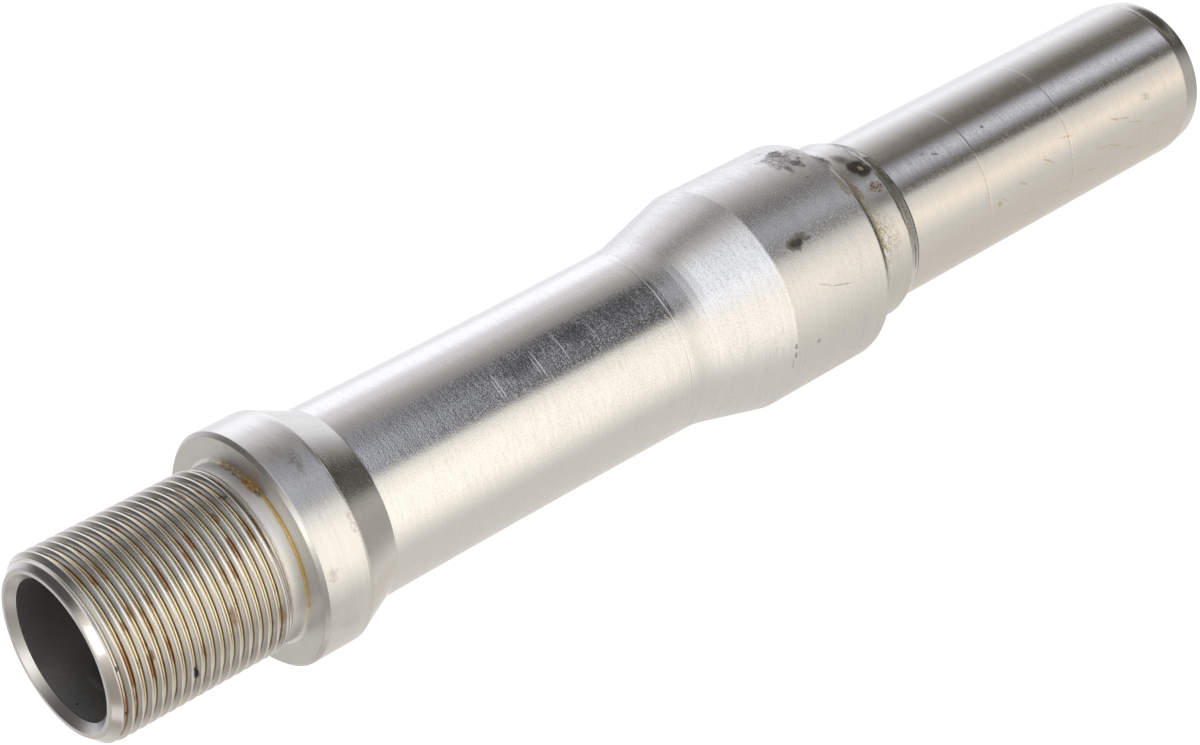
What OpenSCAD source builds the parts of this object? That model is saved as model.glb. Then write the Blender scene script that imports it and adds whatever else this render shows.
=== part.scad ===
// Drive shaft, turned from one steel bar and bored through. It stands on its journal's end with its
// axis along +Z, so heights are measured up from that end. Millimetres.

/* [Journal] */
// Diameter of the bearing journal
journal_d = 35; // [30:0.5:36]
// Length of the journal, from its end to the foot of the neck's bevel
journal_len = 91.6; // [60:0.5:120]
// Length of the slim lead-in taper at the journal's end
lead_len = 4.7; // [2:0.1:8]
// Drop in radius over the lead-in taper
lead_drop = 0.8; // [0.3:0.1:1.2]

/* [Neck] */
// Diameter of the neck between the journal and the barrel
neck_d = 38.4; // [37.5:0.1:42]
// Length of the neck's cylinder
neck_len = 10.1; // [6:0.1:16]
// Length of the bevel from the neck down to the journal
bevel_len = 3.4; // [1.5:0.1:5]
// Height of the small step at the foot of the bevel
step_h = 0.4; // [0.2:0.05:0.8]
// Radius of the fillet where the neck meets the barrel
neck_fillet = 2; // [0.3:0.1:3]

/* [Barrel] */
// Diameter of the barrel
barrel_d = 46.5; // [44:0.5:54]
// Length of the barrel, from its rounded edge to the corner of the flare
barrel_len = 27.1; // [16:0.1:45]
// Radius of the rounded edge above the neck
barrel_edge = 1.8; // [0.5:0.1:3]
// Half angle of the flare's cone
flare_angle = 13.8; // [10:0.1:20]
// Radius of the hollow where the body runs into the flare
flare_hollow = 45; // [25:1:60]
// Radius of the soft corner between the flare and the barrel
flare_corner = 2; // [0.5:0.5:12]

/* [Body] */
// Length of the body, from the start of the flare to the foot of the collar's cone
body_len = 73; // [50:0.5:120]
// Diameter of the body at its waist
waist_d = 37.5; // [36.5:0.1:41]
// Distance from the foot of the collar's cone to the waist
waist_at = 28.7; // [15:0.1:35]
// Radius of the long hollow that makes the waist
waist_hollow = 4000; // [3000:100:9000]

/* [Collar] */
// Diameter of the collar
collar_d = 45.4; // [44:0.1:54]
// Length of the collar with its cone
collar_len = 18.4; // [15:0.1:30]
// Half angle of the cone behind the collar
cone_angle = 24.4; // [20:0.1:40]
// Radius of the soft corner between the collar and its cone
collar_corner = 2; // [0.5:0.5:12]
// Chamfer on the edge of the collar's seat face
collar_chamfer = 0.75; // [0.3:0.05:1.5]

/* [Thread end] */
// Diameter over the crests of the thread
thread_d = 35.8; // [33:0.1:38]
// Length from the collar's seat face to the shaft's end face
thread_end_len = 40; // [30:0.5:60]
// Chamfer on the outer edge of the end face
end_chamfer = 2.2; // [0.5:0.1:2.6]
// Depth of the run-out groove below the thread's crests
groove_depth = 0.6; // [0.3:0.05:1.2]
// Length of the run-out groove beside the collar
groove_len = 4.1; // [2:0.1:6]
// Radius of the fillet in the groove's corner
groove_fillet = 0.6; // [0.2:0.05:1]

/* [Bore] */
// Diameter of the bore
bore_d = 27; // [18:0.5:28]
// Chamfer on the bore's mouth at the thread end
mouth_chamfer = 1.4; // [0.3:0.1:1.6]
// Chamfer on the bore's mouth at the journal's end
tail_chamfer = 1; // [0.3:0.1:1.2]

/* [Hidden] */

// Facets around the shaft, and around the small, middle and large arcs of its outline
turn_facets = 72;
fillet_facets = 48;
corner_facets = 96;
hollow_facets = 180;
// Stretches that the body's long hollow is drawn in
waist_steps = 8;
// How far a cutter runs past the face that it cuts
clear = 1;

journal_r = journal_d / 2;
neck_r = neck_d / 2;
barrel_r = barrel_d / 2;
waist_r = waist_d / 2;
collar_r = collar_d / 2;
thread_r = thread_d / 2;
groove_r = thread_r - groove_depth;
bore_r = bore_d / 2;
// The barrel's rounded edge and the neck's fillet share the wall between them
wall_h = barrel_r - neck_r;
edge_r = min(barrel_edge, wall_h / 2);
fillet_r = min(neck_fillet, wall_h / 2);

// Radius of the waisted body at a distance along the axis from the waist
function body_r(away) = waist_r + waist_hollow - sqrt(pow(waist_hollow, 2) - pow(away, 2));
body_foot_r = body_r(waist_at);
body_flare_r = body_r(body_len - waist_at);

// The flare: a hollow arc tangent to the body, then a cone up to the barrel's corner
flare_arc_r = body_flare_r + flare_hollow * (1 - cos(flare_angle));
flare_arc_len = flare_hollow * sin(flare_angle);
flare_len = flare_arc_len + (barrel_r - flare_arc_r) / tan(flare_angle);
flare_tangent = flare_corner * tan(flare_angle / 2);

// The collar's cone and its soft corner
cone_len = (collar_r - body_foot_r) / tan(cone_angle);
collar_tangent = collar_corner * tan(cone_angle / 2);

// Heights of the steps, up from the journal's end
bevel_z = journal_len;
neck_z = bevel_z + bevel_len;
barrel_z = neck_z + neck_len;
flare_z = barrel_z + barrel_len;
body_z = flare_z + flare_len;
cone_z = body_z + body_len;
face_z = cone_z + collar_len;
end_z = face_z + thread_end_len;
corner_z = cone_z + cone_len;

// The outlines below are half sections: the first coordinate is the radius, the second the height

// Journal with its lead-in taper
module journal_outline() {
    polygon([
        [0, 0],
        [journal_r - lead_drop, 0],
        [journal_r, lead_len],
        [journal_r, bevel_z],
        [0, bevel_z],
    ]);
}

// A corner filled with a hollow fillet: its sharp corner is at the origin, the fillet grows to +X and
// to the side that up gives
module hollow_corner(radius, up) {
    mirror([0, up ? 0 : 1])
        difference() {
            square(radius);
            translate([radius, radius]) circle(r = radius, $fn = fillet_facets);
        }
}

// Neck: a small step and a bevel up from the journal, then a cylinder with a fillet under the barrel
module neck_outline() {
    polygon([
        [0, bevel_z - step_h],
        [journal_r, bevel_z - step_h],
        [journal_r + step_h, bevel_z],
        [neck_r, neck_z],
        [neck_r, barrel_z],
        [0, barrel_z],
    ]);
    translate([neck_r, barrel_z]) hollow_corner(fillet_r, false);
}

// Barrel: a rounded edge above the neck and a soft corner into the flare
module barrel_outline() {
    polygon([
        [0, barrel_z],
        [barrel_r - edge_r, barrel_z],
        [barrel_r, barrel_z + edge_r],
        [barrel_r, flare_z - flare_tangent],
        [0, flare_z - flare_tangent],
    ]);
    translate([barrel_r - edge_r, barrel_z + edge_r])
        circle(r = edge_r, $fn = fillet_facets);
}

// Flare between the barrel and the body
module flare_outline() {
    difference() {
        polygon([
            [0, flare_z - flare_tangent],
            [barrel_r, flare_z - flare_tangent],
            [barrel_r - flare_tangent * sin(flare_angle), flare_z + flare_tangent * cos(flare_angle)],
            [flare_arc_r, body_z - flare_arc_len],
            [flare_arc_r, body_z],
            [0, body_z],
        ]);
        translate([body_flare_r + flare_hollow, body_z]) circle(r = flare_hollow, $fn = hollow_facets);
    }
    translate([barrel_r - flare_corner, flare_z - flare_tangent])
        circle(r = flare_corner, $fn = corner_facets);
}

// Body, drawn in to a slight waist by one long hollow
module body_outline() {
    hollow = [
        for (i = [0 : waist_steps])
            let (height = body_len * i / waist_steps) [body_r(body_len - waist_at - height), body_z + height]
    ];
    polygon(concat([[0, body_z]], hollow, [[0, cone_z]]));
}

// Collar: a cone up from the body, a soft corner, the collar's rim and its chamfered seat face
module collar_outline() {
    polygon([
        [0, cone_z],
        [body_foot_r, cone_z],
        [collar_r - collar_tangent * sin(cone_angle), corner_z - collar_tangent * cos(cone_angle)],
        [collar_r, corner_z + collar_tangent],
        [collar_r, face_z - collar_chamfer],
        [collar_r - collar_chamfer, face_z],
        [0, face_z],
    ]);
    translate([collar_r - collar_corner, corner_z + collar_tangent])
        circle(r = collar_corner, $fn = corner_facets);
}

// Thread end: the run-out groove, the cylinder over the thread's crests and the chamfered end
module thread_end_outline() {
    polygon([
        [0, face_z],
        [groove_r, face_z],
        [groove_r, face_z + groove_len - groove_depth],
        [thread_r, face_z + groove_len],
        [thread_r, end_z - end_chamfer],
        [thread_r - end_chamfer, end_z],
        [0, end_z],
    ]);
    translate([groove_r, face_z]) hollow_corner(groove_fillet, true);
}

// A chamfer cutter for the bore's mouth: wide at z = 0 and narrowing upward
module mouth_cutter(chamfer) {
    translate([0, 0, -clear])
        cylinder(r1 = bore_r + chamfer + clear, r2 = bore_r, h = chamfer + clear, $fn = turn_facets);
}

// The bore, chamfered at both of its mouths
module bore_cut() {
    translate([0, 0, -clear]) cylinder(r = bore_r, h = end_z + 2 * clear, $fn = turn_facets);
    mouth_cutter(tail_chamfer);
    translate([0, 0, end_z]) mirror([0, 0, 1]) mouth_cutter(mouth_chamfer);
}

module drive_shaft() {
    color([0.72, 0.71, 0.68])
        difference() {
            rotate_extrude($fn = turn_facets) {
                journal_outline();
                neck_outline();
                barrel_outline();
                flare_outline();
                body_outline();
                collar_outline();
                thread_end_outline();
            }
            bore_cut();
        }
}

drive_shaft();
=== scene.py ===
"""Drive shaft: its turned steel, thread, wear and stains, some painted shade and light on the steel, its
camera, floor and soft studio light.

Sizes are in millimetres and angles in degrees unless a name says otherwise; the mesh is built in metres.
The shaft stands on its journal's end with its axis along +Z. Angles around it start at the front, where
the camera stands, and grow towards -X.
"""

import logging
import math
from collections.abc import Callable, Sequence
from dataclasses import dataclass, field
from enum import Enum
from typing import Any

import bpy
from mathutils import Matrix, Vector


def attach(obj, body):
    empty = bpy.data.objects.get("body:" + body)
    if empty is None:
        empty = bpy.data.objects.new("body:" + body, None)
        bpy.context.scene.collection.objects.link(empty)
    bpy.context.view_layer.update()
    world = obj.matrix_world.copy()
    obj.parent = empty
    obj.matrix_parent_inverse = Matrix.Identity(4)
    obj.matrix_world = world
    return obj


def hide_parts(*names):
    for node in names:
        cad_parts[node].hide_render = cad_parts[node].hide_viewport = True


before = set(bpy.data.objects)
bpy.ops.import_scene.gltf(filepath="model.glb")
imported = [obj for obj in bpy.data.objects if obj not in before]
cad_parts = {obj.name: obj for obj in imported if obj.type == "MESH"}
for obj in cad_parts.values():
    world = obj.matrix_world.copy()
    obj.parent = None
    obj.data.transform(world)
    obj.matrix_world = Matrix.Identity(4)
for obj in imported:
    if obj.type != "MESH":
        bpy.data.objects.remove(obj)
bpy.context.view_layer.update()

LOG = logging.getLogger("drive_shaft")
NODE = "drive_shaft"
METRES = 0.001
MICRON = 1e-6
COLUMNS = 144
# Degrees of an arc from ring to ring, and the spacing of rings on straight stretches
ARC_STEP = 6.0
RING_GAP = 7.0
EDGE_GAP = 0.25
LONG_STRETCH = 1.2
# Part of a turn from +X to the front
FRONT_TURN = 0.75
THREAD_DEPTH = 1.08
# Places across a score line, as parts of its width, with their share of its depth
SCORE_LINE = ((-0.5, 0.0), (-0.2, 1.0), (0.2, 1.0), (0.5, 0.0))
SCORE_SIDES = 0.7

Colour = tuple[float, float, float]
Spot = tuple[float, float]


class Value:
    """A number socket of a node tree; maths on it adds Math nodes."""

    def __init__(self, graph: "Graph", socket: bpy.types.NodeSocket) -> None:
        """Keeps the graph and the socket that the value comes from."""
        self.graph = graph
        self.socket = socket

    def math(self, operation: str, *others: "Value | float") -> "Value":
        """Adds a Math node whose first input is this value."""
        return self.graph.math(operation, self, *others)

    def __add__(self, other: "Value | float") -> "Value":
        """Sum."""
        return self.math("ADD", other)

    def __radd__(self, other: float) -> "Value":
        """Sum with a number on the left."""
        return self.math("ADD", other)

    def __sub__(self, other: "Value | float") -> "Value":
        """Difference."""
        return self.math("SUBTRACT", other)

    def __rsub__(self, other: float) -> "Value":
        """Difference from a number on the left."""
        return self.graph.math("SUBTRACT", other, self)

    def __mul__(self, other: "Value | float") -> "Value":
        """Product."""
        return self.math("MULTIPLY", other)

    def __rmul__(self, other: float) -> "Value":
        """Product with a number on the left."""
        return self.math("MULTIPLY", other)

    def __neg__(self) -> "Value":
        """Opposite."""
        return self.math("MULTIPLY", -1.0)

    def __abs__(self) -> "Value":
        """Size without sign."""
        return self.math("ABSOLUTE")


class Graph:
    """A node tree that is written as expressions."""

    def __init__(self, owner: bpy.types.Material | bpy.types.World) -> None:
        """Gives a material or world an empty node tree and keeps it."""
        owner.use_nodes = True
        self.tree = owner.node_tree
        self.tree.nodes.clear()

    def node(
        self,
        kind: str,
        settings: dict[str, Any] | None = None,
        inputs: dict[str | int, Any] | None = None,
    ) -> bpy.types.Node:
        """Adds a node.

        Args:
            kind: the node's type.
            settings: its properties, set first.
            inputs: values or links by the socket's name or number.

        Returns:
            The new node.
        """
        made = self.tree.nodes.new(kind)
        for name, value in (settings or {}).items():
            setattr(made, name, value)
        for name, value in (inputs or {}).items():
            self.feed(made.inputs[name], value)
        return made

    def feed(self, socket: bpy.types.NodeSocket, value: Any) -> None:
        """Sets an input socket to a number or tuple, or links a Value or another node's output to it."""
        if isinstance(value, Value):
            value = value.socket
        if isinstance(value, bpy.types.NodeSocket):
            self.tree.links.new(value, socket)
        elif socket.type == "RGBA" and len(value) == 3:
            socket.default_value = (*value, 1.0)
        else:
            socket.default_value = value

    def math(self, operation: str, *values: "Value | float") -> Value:
        """Adds a Math node with these inputs, in order."""
        made = self.node("ShaderNodeMath", {"operation": operation}, dict(enumerate(values)))
        return Value(self, made.outputs[0])

    def step(self, value: "Value", start: float, end: float) -> Value:
        """Rises smoothly from 0 where the value is at start to 1 where it is at end."""
        made = self.node(
            "ShaderNodeMapRange",
            {"interpolation_type": "SMOOTHSTEP"},
            {"Value": value, "From Min": start, "From Max": end},
        )
        return Value(self, made.outputs["Result"])

    def mix(self, first: Any, second: Any, share: "Value | float") -> bpy.types.NodeSocket:
        """Mixes two colours by the second one's share."""
        made = self.node("ShaderNodeMix", {"data_type": "RGBA"}, {0: share, 6: first, 7: second})
        return made.outputs[2]

    def compass(self, vector: bpy.types.NodeSocket) -> tuple[Value, Value, Value, Value]:
        """Splits a place or a direction.

        Args:
            vector: the place or direction.

        Returns:
            Its parts towards +X, +Y and +Z, and its angle around the axis.
        """
        parts = self.node("ShaderNodeSeparateXYZ", None, {0: vector}).outputs
        east, north, up = (Value(self, part) for part in parts)
        return east, north, up, self.math("ARCTAN2", -east, -north) * math.degrees(1.0)

    def noise(self, vector: bpy.types.NodeSocket, factors: Colour, detail: float = 2.0) -> Value:
        """Adds a noise of about 0 to 1.

        Args:
            vector: the place, in metres.
            factors: how many of its cells lie along a metre of each axis.
            detail: its detail.

        Returns:
            The noise's value.
        """
        scaled = self.node("ShaderNodeVectorMath", {"operation": "MULTIPLY"}, {0: vector, 1: factors})
        made = self.node(
            "ShaderNodeTexNoise",
            {"noise_dimensions": "3D"},
            {"Vector": scaled.outputs[0], "Scale": 1.0, "Detail": detail, "Roughness": 0.55},
        )
        return Value(self, made.outputs[0])


class Mark(Enum):
    """What a mark on the steel is made of: its colour, its metallic share and its roughness."""

    SOOT = ((0.035, 0.03, 0.026), 0.35, 0.55)
    OLIVE = ((0.115, 0.107, 0.066), 0.5, 0.42)
    SMUDGE = ((0.2, 0.19, 0.19), 0.8, 0.5)
    BROWN = ((0.15, 0.094, 0.032), 0.4, 0.5)
    RUST = ((0.27, 0.125, 0.016), 0.35, 0.5)
    TAN = ((0.34, 0.29, 0.165), 0.6, 0.45)
    GOLD = ((0.5, 0.345, 0.11), 0.6, 0.36)
    # Painted light: a pale metal laid inside the bore where light falls in
    PAINTED_LIGHT = ((0.86, 0.87, 0.9), 1.0, 0.36)
    # Painted shade: a darker glossy metal laid over the body's dark reflection band to darken it further
    PAINTED_SHADE = ((0.26, 0.26, 0.27), 1.0, 0.13)
    SCRATCH = ((0.72, 0.72, 0.76), 0.35, 0.5)
    BARE = ((0.8, 0.78, 0.74), 1.0, 0.2)


@dataclass(frozen=True)
class Stain:
    """One mark on the steel: an oval at a height and an angle, with a ragged, fading edge.

    Lean is its shift around the steel for each millimetre up, and speckle the share that breaks into dots.
    """

    height: float
    angle: float
    tall: float
    wide: float
    mark: Mark
    strength: float = 1.0
    ragged: float = 0.5
    fade: float = 0.35
    lean: float = 0.0
    speckle: float = 0.35


def dash(
    height: float, angle: float, tall: float, wide: float, strength: float, lean: float, speckle: float
) -> Stain:
    """Makes a thin, slanting, gold-coloured dash."""
    return Stain(height, angle, tall, wide, Mark.GOLD, strength, lean=lean, speckle=speckle)


def scratch(height: float, angle: float, tall: float, wide: float, strength: float, speckle: float) -> Stain:
    """Makes a fine bright scratch around the steel."""
    return Stain(height, angle, tall, wide, Mark.SCRATCH, strength, ragged=0.1, speckle=speckle)


@dataclass(frozen=True)
class Steel:
    """A finish of the turned steel; its radius is where stains are measured, its relief is in microns."""

    name: str
    radius: float
    roughness: float
    ring_height: float
    grain_height: float
    fine_height: float = 0.3
    wave_height: float = 0.0
    colour: Colour = (0.72, 0.71, 0.68)
    metallic: float = 1.0
    patchy: float = 0.08
    anisotropic: float = 0.2
    texture: float = 0.16
    scuff: float = 0.0
    dirt: float = 0.1
    stains: tuple[Stain, ...] = ()

    def nodes(self, graph: Graph) -> "SteelNodes":
        """Gives the nodes that draw this finish."""
        return SteelNodes(graph, self)

    def build(self) -> bpy.types.Material:
        """Makes the finish's material."""
        material = bpy.data.materials.new(self.name)
        self.nodes(Graph(material)).connect()
        return material


class SteelNodes:
    """The nodes of one steel finish: places on the turned surface, tool marks, grime, stains and some
    painted shade and light.
    """

    def __init__(self, graph: Graph, steel: Steel) -> None:
        """Works out the places on the surface that every mark uses.

        Args:
            graph: the material's graph.
            steel: the finish.
        """
        self.graph = graph
        self.steel = steel
        self.place = graph.node("ShaderNodeTexCoord").outputs["Object"]
        east, north, up, self.angle = graph.compass(self.place)
        self.height = up * (1.0 / METRES)
        self.reach = (east * east + north * north).math("SQRT") * (1.0 / METRES)
        self.rings = graph.noise(self.place, (22.0, 22.0, 1300.0), 3.0)
        self.fine = graph.noise(self.place, (260.0, 260.0, 3600.0), 3.0)
        self.grain = graph.noise(self.place, (3300.0, 3300.0, 3300.0), 2.0)
        self.wave = graph.noise(self.place, (180.0, 180.0, 420.0), 3.0)
        self.cloud = graph.noise(self.place, (70.0, 70.0, 55.0), 4.0)
        self.edge = graph.noise(self.place, (620.0, 620.0, 800.0), 6.0)
        self.mottle = graph.noise(self.place, (2300.0, 2300.0, 2700.0), 3.0)

    def connect(self) -> None:
        """Builds the shader and links it to the material's output."""
        graph, steel = self.graph, self.steel
        darker = tuple(0.62 * part for part in steel.colour)
        streak = graph.step(self.rings, 0.35, 0.75)
        colour = graph.mix(steel.colour, darker, streak * steel.dirt)
        colour = graph.mix(colour, darker, graph.step(self.cloud, 0.52, 0.8) * (steel.dirt * 2.0))
        texture = graph.step(self.grain, 0.3, 0.7) * 0.5 + graph.step(self.fine, 0.3, 0.7) * 0.5
        colour = graph.mix(colour, tuple(0.5 * part for part in steel.colour), texture * steel.texture)
        roughness = steel.roughness + (self.cloud - 0.5) * steel.patchy + (self.rings - 0.5) * steel.patchy
        if steel.scuff:
            scuffs = graph.step(self.grain * 0.65 + self.fine * 0.35, 0.5, 0.6)
            roughness = roughness + scuffs * steel.scuff
        colour, roughness, metallic = self.add_wear_and_shade(colour, roughness, steel.metallic)
        for stain in steel.stains:
            mask = self.stain_mask(stain)
            mark_colour, mark_metallic, mark_roughness = stain.mark.value
            colour = graph.mix(colour, mark_colour, mask)
            roughness = roughness + (mark_roughness - roughness) * mask
            metallic = metallic + (mark_metallic - metallic) * mask
        relief = self.rings * steel.ring_height + self.fine * steel.fine_height
        relief = relief + self.grain * steel.grain_height
        if steel.wave_height:
            relief = relief + self.wave * steel.wave_height
        bump = graph.node("ShaderNodeBump", None, {"Strength": 1.0, "Distance": MICRON, "Height": relief})
        shader = graph.node(
            "ShaderNodeBsdfPrincipled",
            None,
            {
                "Base Color": colour,
                "Metallic": metallic,
                "Roughness": roughness,
                "Anisotropic": steel.anisotropic,
                "Anisotropic Rotation": 0.25,
                "Normal": bump.outputs[0],
            },
        )
        graph.node("ShaderNodeOutputMaterial", None, {"Surface": shader.outputs[0]})

    def add_wear_and_shade(
        self, colour: Any, roughness: Value, metallic: Value | float
    ) -> tuple[Any, Value, Value | float]:
        """Gives the finish what only it has; plain steel has nothing more.

        Args:
            colour: the colour so far.
            roughness: the roughness so far.
            metallic: the metallic share so far.

        Returns:
            The three, changed where the finish needs it.
        """
        return colour, roughness, metallic

    def stain_mask(self, stain: Stain) -> Value:
        """Finds where a stain is.

        Args:
            stain: the stain.

        Returns:
            A mask that is the stain's strength at its middle and 0 outside it.
        """
        turn = (self.angle - stain.angle).math("WRAP", 180.0, -180.0)
        rise = self.height - stain.height
        across = (turn * math.radians(self.steel.radius) + rise * stain.lean) * (1.0 / stain.wide)
        along = rise * (1.0 / stain.tall)
        far = (along * along + across * across).math("SQRT") + (self.edge - 0.5) * (2.4 * stain.ragged)
        covered = self.graph.step(far, 1.1, 1.1 - 1.6 * stain.fade)
        spots = self.graph.step(self.mottle, 0.42, 0.58)
        return covered * (spots * stain.speckle + (1.0 - stain.speckle)) * stain.strength


class ThreadNodes(SteelNodes):
    """The thread's nodes: rust and gold lie in the roots, and dark, greasy dirt with painted shade along
    their sides, strongest at the front and lower side.
    """

    def add_wear_and_shade(
        self, colour: Any, roughness: Value, metallic: Value | float
    ) -> tuple[Any, Value, Value | float]:
        """Puts rust and gold in the roots, and dark, greasy dirt with painted shade beside them; arguments
        and result are as for plain steel.
        """
        graph = self.graph
        rise = self.reach - (self.steel.radius - THREAD_DEPTH)
        patches = graph.step(graph.noise(self.place, (105.0, 105.0, 430.0), 4.0), 0.52, 0.63)
        threaded = graph.step(self.height, 284.4, 283.9)
        aside = abs((self.angle + 6.0).math("WRAP", 180.0, -180.0))
        front = graph.step(aside, 92.0, 50.0)
        floor = graph.step(rise, 0.035, 0.02) * threaded
        # Painted shade: dark lines along both sides of each root, mixed with greasy dirt
        flanks = graph.step(rise, 0.018, 0.04) * graph.step(rise - patches * 0.1, 0.4, 0.16) * threaded
        gold = graph.mix((0.78, 0.65, 0.36), (0.34, 0.15, 0.022), patches)
        grease_and_shade = graph.mix((0.13, 0.096, 0.046), (0.22, 0.09, 0.011), patches)
        grimy_and_shaded = flanks * (0.55 + front * 0.35 + patches * 0.2).math("MINIMUM", 1.0)
        colour = graph.mix(colour, gold, floor * (0.3 + front * 0.6))
        colour = graph.mix(colour, grease_and_shade, grimy_and_shaded)
        roughness = roughness + grimy_and_shaded * 0.15
        metallic = metallic - grimy_and_shaded * 0.4 - floor * patches * 0.3
        return colour, roughness, metallic


@dataclass(frozen=True)
class ThreadSteel(Steel):
    """The thread's own finish."""

    def nodes(self, graph: Graph) -> ThreadNodes:
        """Gives the nodes that draw this finish."""
        return ThreadNodes(graph, self)


@dataclass(frozen=True)
class Corner:
    """A corner of an outline, with the radius that rounds it."""

    r: float
    z: float
    soft: float = 0.12


class Outline:
    """A half section drawn as corners, which is turned into the points of its rings."""

    def __init__(self, corners: Sequence[Corner]) -> None:
        """Keeps the corners in order."""
        self.corners = list(corners)

    def points(self) -> list[Spot]:
        """Rounds every inner corner with an arc and adds a ring close to each arc's ends.

        Returns:
            The radius and height of each ring.
        """
        found = [(self.corners[0].r, self.corners[0].z)]
        for before, here, after in zip(self.corners, self.corners[1:], self.corners[2:]):
            found.extend(self.rounded(before, here, after))
        found.append((self.corners[-1].r, self.corners[-1].z))
        return self.spread(found)

    @staticmethod
    def rounded(before: Corner, here: Corner, after: Corner) -> list[Spot]:
        """Rounds one corner.

        Args:
            before: the corner before it.
            here: the corner.
            after: the corner after it.

        Returns:
            The points of its arc, or the corner itself where it isn't rounded.
        """
        back = (before.r - here.r, before.z - here.z)
        ahead = (after.r - here.r, after.z - here.z)
        back_len, ahead_len = math.hypot(*back), math.hypot(*ahead)
        back_dir = (back[0] / back_len, back[1] / back_len)
        ahead_dir = (ahead[0] / ahead_len, ahead[1] / ahead_len)
        open_angle = math.acos(max(-1.0, min(1.0, back_dir[0] * ahead_dir[0] + back_dir[1] * ahead_dir[1])))
        turn = math.pi - open_angle
        if here.soft <= 0 or turn < 0.004:
            return [(here.r, here.z)]
        reach = here.soft * math.tan(turn / 2)
        reach = min(reach, 0.495 * min(back_len, ahead_len))
        radius = reach / math.tan(turn / 2)
        half = (back_dir[0] + ahead_dir[0], back_dir[1] + ahead_dir[1])
        half_len = math.hypot(*half)
        to_middle = math.hypot(radius, reach)
        middle = (here.r + half[0] / half_len * to_middle, here.z + half[1] / half_len * to_middle)
        start = (here.r + back_dir[0] * reach, here.z + back_dir[1] * reach)
        first = math.atan2(start[1] - middle[1], start[0] - middle[0])
        side = math.copysign(1.0, back_dir[0] * ahead_dir[1] - back_dir[1] * ahead_dir[0])
        steps = max(3, round(math.degrees(turn) / ARC_STEP))
        arc = []
        for index in range(steps + 1):
            angle = first - side * turn * index / steps
            arc.append((middle[0] + radius * math.cos(angle), middle[1] + radius * math.sin(angle)))
        return arc

    @staticmethod
    def spread(points: Sequence[Spot]) -> list[Spot]:
        """Adds rings on long straight stretches, close to their ends and along them.

        Args:
            points: the points so far.

        Returns:
            The points with the added ones.
        """
        full = [points[0]]
        for start, end in zip(points, points[1:]):
            length = math.dist(start, end)
            if length < 1e-6:
                continue
            places = []
            if length > LONG_STRETCH:
                inner = max(1, round((length - 2 * EDGE_GAP) / RING_GAP))
                along = [index / inner for index in range(1, inner)]
                places = [EDGE_GAP / length, *along, 1 - EDGE_GAP / length]
            for place in places:
                across, up = end[0] - start[0], end[1] - start[1]
                full.append((start[0] + across * place, start[1] + up * place))
            full.append(end)
        return full


class TurnedMesh:
    """A mesh of rings around the axis, with one material slot for each finish."""

    def __init__(self) -> None:
        """Starts with no points and no faces."""
        self.points: list[tuple[float, float, float]] = []
        self.faces: list[tuple[int, ...]] = []
        self.slots: list[int] = []
        self.materials: list[bpy.types.Material] = []
        self.open_ring: list[int] = []

    def slot(self, material: bpy.types.Material) -> int:
        """Gives the material's slot number, adding the slot if it is new."""
        if material not in self.materials:
            self.materials.append(material)
        return self.materials.index(material)

    def point(self, radius: float, angle: float, height: float) -> int:
        """Adds a point at an angle from +X, in radians, and gives its number."""
        place = (radius * math.cos(angle), radius * math.sin(angle), height)
        self.points.append(tuple(part * METRES for part in place))
        return len(self.points) - 1

    def ring(self, radius: float, height: float) -> list[int]:
        """Adds a ring of points and gives their numbers."""
        return [self.point(radius, math.tau * column / COLUMNS, height) for column in range(COLUMNS)]

    def face(self, corners: Sequence[int], slot: int) -> None:
        """Adds a face to a material slot, leaving out points that are named twice."""
        kept = [corner for index, corner in enumerate(corners) if corner != corners[index - 1]]
        if len(set(kept)) == len(kept) and len(kept) > 2:
            self.faces.append(tuple(kept))
            self.slots.append(slot)

    def bridge(self, lower: Sequence[int], upper: Sequence[int], slot: int) -> None:
        """Joins a ring to the next one along the outline."""
        for column in range(COLUMNS):
            after = (column + 1) % COLUMNS
            self.face((lower[column], lower[after], upper[after], upper[column]), slot)

    def turn(self, points: Sequence[Spot], material: bpy.types.Material) -> None:
        """Turns a stretch of outline on from the ring that is open.

        Args:
            points: the radius and height of each ring; the first is the open ring, if there is one.
            material: the finish of the stretch.
        """
        slot = self.slot(material)
        if not self.open_ring:
            self.open_ring = self.ring(*points[0])
        for radius, height in points[1:]:
            new = self.ring(radius, height)
            self.bridge(self.open_ring, new, slot)
            self.open_ring = new

    def close(self, first_ring: Sequence[int], material: bpy.types.Material) -> None:
        """Joins the open ring to the very first one."""
        self.bridge(self.open_ring, first_ring, self.slot(material))

    def build(self, name: str) -> bpy.types.Object:
        """Makes the object and links it to the scene."""
        mesh = bpy.data.meshes.new(name)
        mesh.from_pydata(self.points, [], self.faces)
        for material in self.materials:
            mesh.materials.append(material)
        mesh.polygons.foreach_set("material_index", self.slots)
        mesh.shade_smooth()
        mesh.validate()
        mesh.update()
        made = bpy.data.objects.new(name, mesh)
        bpy.context.scene.collection.objects.link(made)
        return made


@dataclass
class Round:
    """A stretch of the shaft that is known by its diameter."""

    diameter: float

    @property
    def radius(self) -> float:
        """Half its diameter."""
        return self.diameter / 2


def score_line(height: float, wide: float, deep: float, radius_at: Callable[[float], float]) -> list[Corner]:
    """Draws a fine turned line.

    Args:
        height: the height of its middle.
        wide: its width.
        deep: its depth.
        radius_at: gives the surface's radius at a height.

    Returns:
        The corners of its shallow groove.
    """
    places = [(height + side * wide, share * deep) for side, share in SCORE_LINE]
    return [Corner(radius_at(place) - drop, place, 0.0) for place, drop in places]


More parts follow.
